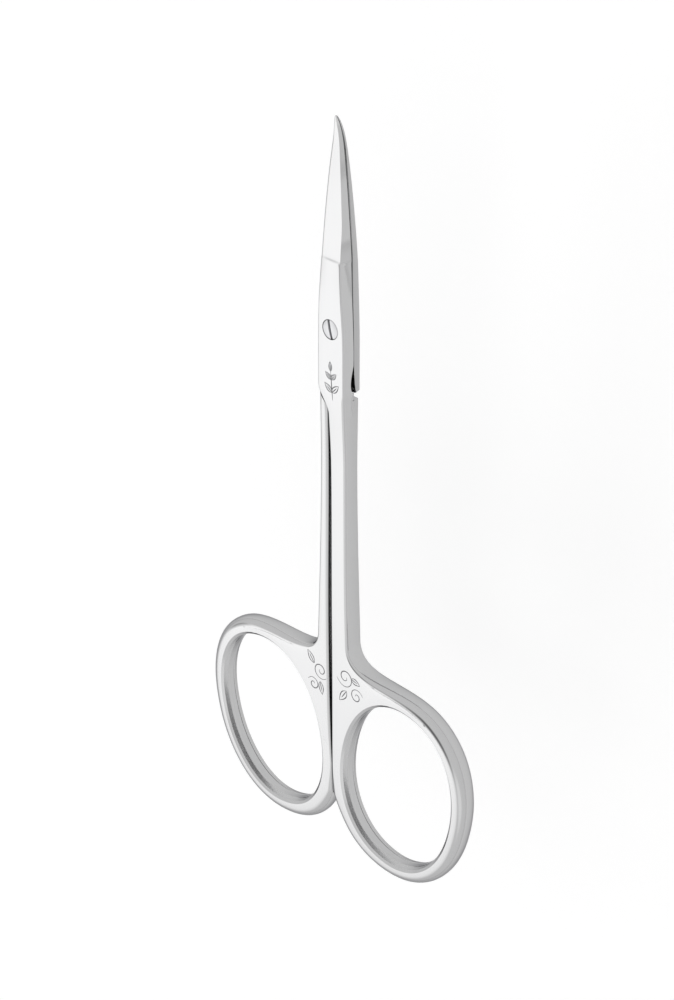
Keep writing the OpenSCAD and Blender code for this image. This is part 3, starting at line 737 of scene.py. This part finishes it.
def engraving(name, skin, strokes):
    """Each stroke is a thin closed ribbon let into the face below it, thinner at both ends."""
    tree = BVHTree.FromObject(skin, bpy.context.evaluated_depsgraph_get())
    down = Vector((0, 0, -1))
    pts, faces = [], []
    for stroke in strokes:
        first, n = len(pts), len(stroke)
        for i, p in enumerate(stroke):
            along = unit(stroke[min(i + 1, n - 1)] - stroke[max(i - 1, 0)])
            share = LINE_END_SHARE + (1 - LINE_END_SHARE) * sind(180 * i / (n - 1))
            side = np.array([-along[1], along[0]]) * LINE_W / 2 * share
            left, right = p - side, p + side
            for q, lift in ((left, LINE_UP), (right, LINE_UP), (right, -LINE_DOWN), (left, -LINE_DOWN)):
                hit = tree.ray_cast(Vector((q[0] * MM, q[1] * MM, DEEP * MM)), down)[0]
                if hit is None:
                    raise RuntimeError(f"{name} leaves the face at {q}")
                pts.append((q[0], q[1], hit.z / MM + lift))
        for k in range(first, first + 4 * (n - 1), 4):
            faces += [(k + j, k + (j + 1) % 4, k + 4 + (j + 1) % 4, k + 4 + j) for j in range(4)]
        faces += [(first + 3, first + 2, first + 1, first), tuple(range(first + 4 * n - 4, first + 4 * n))]
    return closed_object(name, pts, faces)


JOINT_SPRIG = sprig(at=(0.45, -10.2), angle=95, length=4.2, pairs=2, leaf_l=2.0, leaf_w=0.42)
RIGHT_SCROLL = [scroll(at=(2.7, -53.2), angle=200, radius=1.7, turns=1.5, hand=1),
                scroll(at=(5.0, -55.4), angle=20, radius=1.3, turns=1.4, hand=1),
                *leaf(at=(3.9, -52.9), angle=-14, length=1.8, width=0.42),
                *leaf(at=(3.0, -55.4), angle=236, length=2.5, width=0.52)]
LEFT_SCROLL = [scroll(at=(-2.2, -54.3), angle=-20, radius=1.5, turns=1.5, hand=-1),
               scroll(at=(-3.6, -57.1), angle=160, radius=1.15, turns=1.4, hand=-1),
               *leaf(at=(-3.5, -53.6), angle=128, length=2.2, width=0.46),
               *leaf(at=(-2.3, -56.2), angle=-78, length=2.1, width=0.42)]
engravings = (engraving("joint_engraving", front, JOINT_SPRIG),
              engraving("right_web_engraving", front, RIGHT_SCROLL),
              engraving("left_web_engraving", rear, LEFT_SCROLL))


# Nodes of materials and of the world
def add_node(tree, kind, inputs, **settings):
    """A node with its settings made first. An input takes another node's output or a plain value."""
    node = tree.nodes.new("ShaderNode" + kind)
    for name, value in settings.items():
        setattr(node, name, value)
    for key, value in inputs.items():
        if isinstance(value, bpy.types.NodeSocket):
            tree.links.new(value, node.inputs[key])
        else:
            node.inputs[key].default_value = value
    return node


def calculate(tree, operation, *values):
    return add_node(tree, "Math", dict(enumerate(values)), operation=operation).outputs[0]


def soft_step(tree, value, low, high):
    """0 at the low value and 1 at the high one, eased at both."""
    inputs = {"Value": value, "From Min": low, "From Max": high}
    return add_node(tree, "MapRange", inputs, interpolation_type="SMOOTHSTEP").outputs["Result"]


def part_along_z(tree, direction):
    return add_node(tree, "SeparateXYZ", {0: direction}).outputs["Z"]


def new_material(name):
    mat = bpy.data.materials.new(name)
    mat.use_nodes = True
    return mat, mat.node_tree, mat.node_tree.nodes["Principled BSDF"].inputs


# Steel. Scales are in waves for each metre: the grain is drawn out along the scissors, the clouds are even.
SPECULAR_TINT = (0.4, 0.4, 0.41, 1)
WALL_LEVEL, FACE_LEVEL = 0.15, 0.85  # Z of the normal on a wall at most, and on a face at least; between them the painted wall shade fades out
GRAIN_SCALE, GRAIN_DETAIL, GRAIN_HEIGHT = (2600, 160, 2600), 4, 0.00001
CLOUD_SCALE, CLOUD_DETAIL = 220, 3
CLOUD_LOW, CLOUD_HIGH = 0.75, 1.3    # shares of the roughness between which the clouds vary it


def steel(name, colour, rough, grain, painted_wall_shade):
    """Buffed steel, with painted shade: the walls, which lean from +-Z, get a base colour darker than the
    faces' by painted_wall_shade, as if less light fell on them.
    """
    mat, tree, surface = new_material(name)
    normal = add_node(tree, "NewGeometry", {}).outputs["Normal"]
    place = add_node(tree, "TexCoord", {}).outputs["Object"]
    level = soft_step(tree, calculate(tree, "ABSOLUTE", part_along_z(tree, normal)), WALL_LEVEL, FACE_LEVEL)
    # Painted shade: the walls' base colour is darkened, standing in for the light that falls less on them
    # than on the faces
    walls = (*(c * painted_wall_shade for c in colour), 1)
    painted_shade_tone = add_node(tree, "Mix", {"A": walls, "B": (*colour, 1), "Factor": level}, data_type="RGBA")
    clouds = add_node(tree, "TexNoise", {"Scale": CLOUD_SCALE, "Detail": CLOUD_DETAIL, "Vector": place})
    dullness = add_node(tree, "MapRange", {"Value": clouds.outputs["Fac"], "To Min": rough * CLOUD_LOW,
                                           "To Max": rough * CLOUD_HIGH})
    stretch = add_node(tree, "Mapping", {"Scale": GRAIN_SCALE, "Vector": place})
    strokes = add_node(tree, "TexNoise", {"Scale": 1, "Detail": GRAIN_DETAIL,
                                          "Vector": stretch.outputs["Vector"]})
    bump = add_node(tree, "Bump", {"Strength": grain, "Distance": GRAIN_HEIGHT,
                                   "Height": strokes.outputs["Fac"]})
    surface["Metallic"].default_value = 1
    surface["Specular Tint"].default_value = SPECULAR_TINT
    tree.links.new(painted_shade_tone.outputs["Result"], surface["Base Color"])
    tree.links.new(dullness.outputs["Result"], surface["Roughness"])
    tree.links.new(bump.outputs["Normal"], surface["Normal"])
    return mat


# The last number of each steel is the painted shade on its walls
half_steel = steel("half_steel", (0.53, 0.53, 0.533), rough=0.12, grain=0.25, painted_wall_shade=0.94)
screw_steel = steel("screw_steel", (0.5, 0.5, 0.51), rough=0.18, grain=0.3, painted_wall_shade=0.9)
etched = steel("etched_lines", (0.13, 0.13, 0.135), rough=0.42, grain=0.5, painted_wall_shade=0.9)
for obj, mat in ((front, half_steel), (rear, half_steel), (screw, screw_steel),
                 *((obj, etched) for obj in engravings)):
    obj.data.materials.clear()
    obj.data.materials.append(mat)

for obj, body, node, slot in ((front, "front", "front_half", "half_steel"),
                              (rear, "rear", "rear_half", "half_steel"),
                              (screw, "rear", "pivot_screw", "screw_steel")):
    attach(obj, body)
    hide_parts(node)
for obj, body in zip(engravings, ("front", "front", "rear")):
    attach(obj, body)

# Floor: wide and pale. It glows for the camera and in reflections alone, and lights nothing.
FLOOR_Z = -0.03           # in metres
FLOOR_HALF = 2500
FLOOR_COLOUR = (0.8, 0.8, 0.8, 1)
FLOOR_GLOW = (0.26, 0.26, 0.26, 1)
FLOOR_ROUGH, FLOOR_SHINE = 0.9, 0.1


def make_floor():
    corners = [(x * FLOOR_HALF, y * FLOOR_HALF, 0) for x, y in ((-1, -1), (1, -1), (1, 1), (-1, 1))]
    floor = mesh_object("floor", corners, [(0, 1, 2, 3)])
    floor.location.z = FLOOR_Z
    mat, tree, surface = new_material("pale_floor")
    surface["Base Color"].default_value = FLOOR_COLOUR
    surface["Roughness"].default_value = FLOOR_ROUGH
    surface["Specular IOR Level"].default_value = FLOOR_SHINE
    surface["Emission Color"].default_value = FLOOR_GLOW
    path = add_node(tree, "LightPath", {}).outputs
    seen = calculate(tree, "ADD", path["Is Camera Ray"], path["Is Glossy Ray"])
    seen = calculate(tree, "ADD", seen, path["Is Transmission Ray"])
    tree.links.new(seen, surface["Emission Strength"])
    floor.data.materials.append(mat)


# Light: the surround's colour and strength, then soft patches on it. Each has its direction, the angles in
# degrees at which it is full and gone, and its strength. Dark cards have a negative one.
WHITE, SURROUND = (1, 1, 1, 1), 0.93
SOFT_LIGHTS = (((-0.60, -0.46, 0.66), 6, 32, 0.58), ((-0.70, -0.34, 0.63), 0, 23, 0.26),
               ((0.27, -0.5, 0.82), 4, 22, 0.25), ((-0.30, -0.13, 0.94), 2, 24, -0.75),
               ((-0.82, -0.2, 0.53), 5, 13, -0.6))
# The dim band where the studio's wall meets the floor: its height and half its spread as sines of the
# elevation, and its strength
HORIZON_Z, HORIZON_SPREAD, HORIZON_DIM = 0.05, 0.12, -0.12


def make_world():
    world = bpy.data.worlds.new("studio")
    world.use_nodes = True
    tree = world.node_tree
    aim = add_node(tree, "TexCoord", {}).outputs["Generated"]
    strength = SURROUND
    for direction, inner, outer, gain in SOFT_LIGHTS:
        near = add_node(tree, "VectorMath", {0: aim, 1: tuple(unit(direction))}, operation="DOT_PRODUCT")
        patch = soft_step(tree, near.outputs["Value"], cosd(outer), cosd(inner))
        strength = calculate(tree, "MULTIPLY_ADD", patch, gain, strength)
    off = calculate(tree, "SUBTRACT", part_along_z(tree, aim), HORIZON_Z)
    band = soft_step(tree, calculate(tree, "ABSOLUTE", off), HORIZON_SPREAD, 0.0)
    strength = calculate(tree, "MULTIPLY_ADD", band, HORIZON_DIM, strength)
    background = tree.nodes["Background"].inputs
    background["Color"].default_value = WHITE
    tree.links.new(strength, background["Strength"])
    return world


# The photograph's view: the camera looks at a point from its turn and rise, in degrees, at a distance in
# millimetres. The photograph's own size, scale and shift are in pixels.
TURN, RISE, ROLL, DISTANCE = 45.0, 28.908, -0.025, 321.96
TARGET = np.array([0.0, -25.0, MID_Z])
PHOTO_PX, PX_PER_MM, SHIFT_PX = 1000, 7.325, (2.0, 7.496)
SENSOR_MM, CLIP_START = 36, 0.01


def make_camera():
    away = np.array([cosd(RISE) * sind(TURN), sind(RISE), cosd(RISE) * cosd(TURN)])
    right = np.array([cosd(TURN), 0.0, -sind(TURN)])
    up = np.cross(away, right)
    right, up = right * cosd(ROLL) + up * sind(ROLL), up * cosd(ROLL) - right * sind(ROLL)
    place = (TARGET + away * DISTANCE) * MM
    camera = bpy.data.objects.new("camera", bpy.data.cameras.new("camera"))
    bpy.context.scene.collection.objects.link(camera)
    camera.matrix_world = Matrix([*zip(right, up, away, place), (0, 0, 0, 1)])
    camera.data.sensor_fit = "AUTO"
    camera.data.sensor_width = SENSOR_MM
    camera.data.lens = PX_PER_MM * DISTANCE * SENSOR_MM / PHOTO_PX
    camera.data.shift_x = -SHIFT_PX[0] / PHOTO_PX
    camera.data.shift_y = -SHIFT_PX[1] / PHOTO_PX
    camera.data.clip_start = CLIP_START
    return camera


scene = bpy.context.scene
scene.view_settings.view_transform = "Standard"
make_floor()
scene.world = make_world()
scene.camera = make_camera()
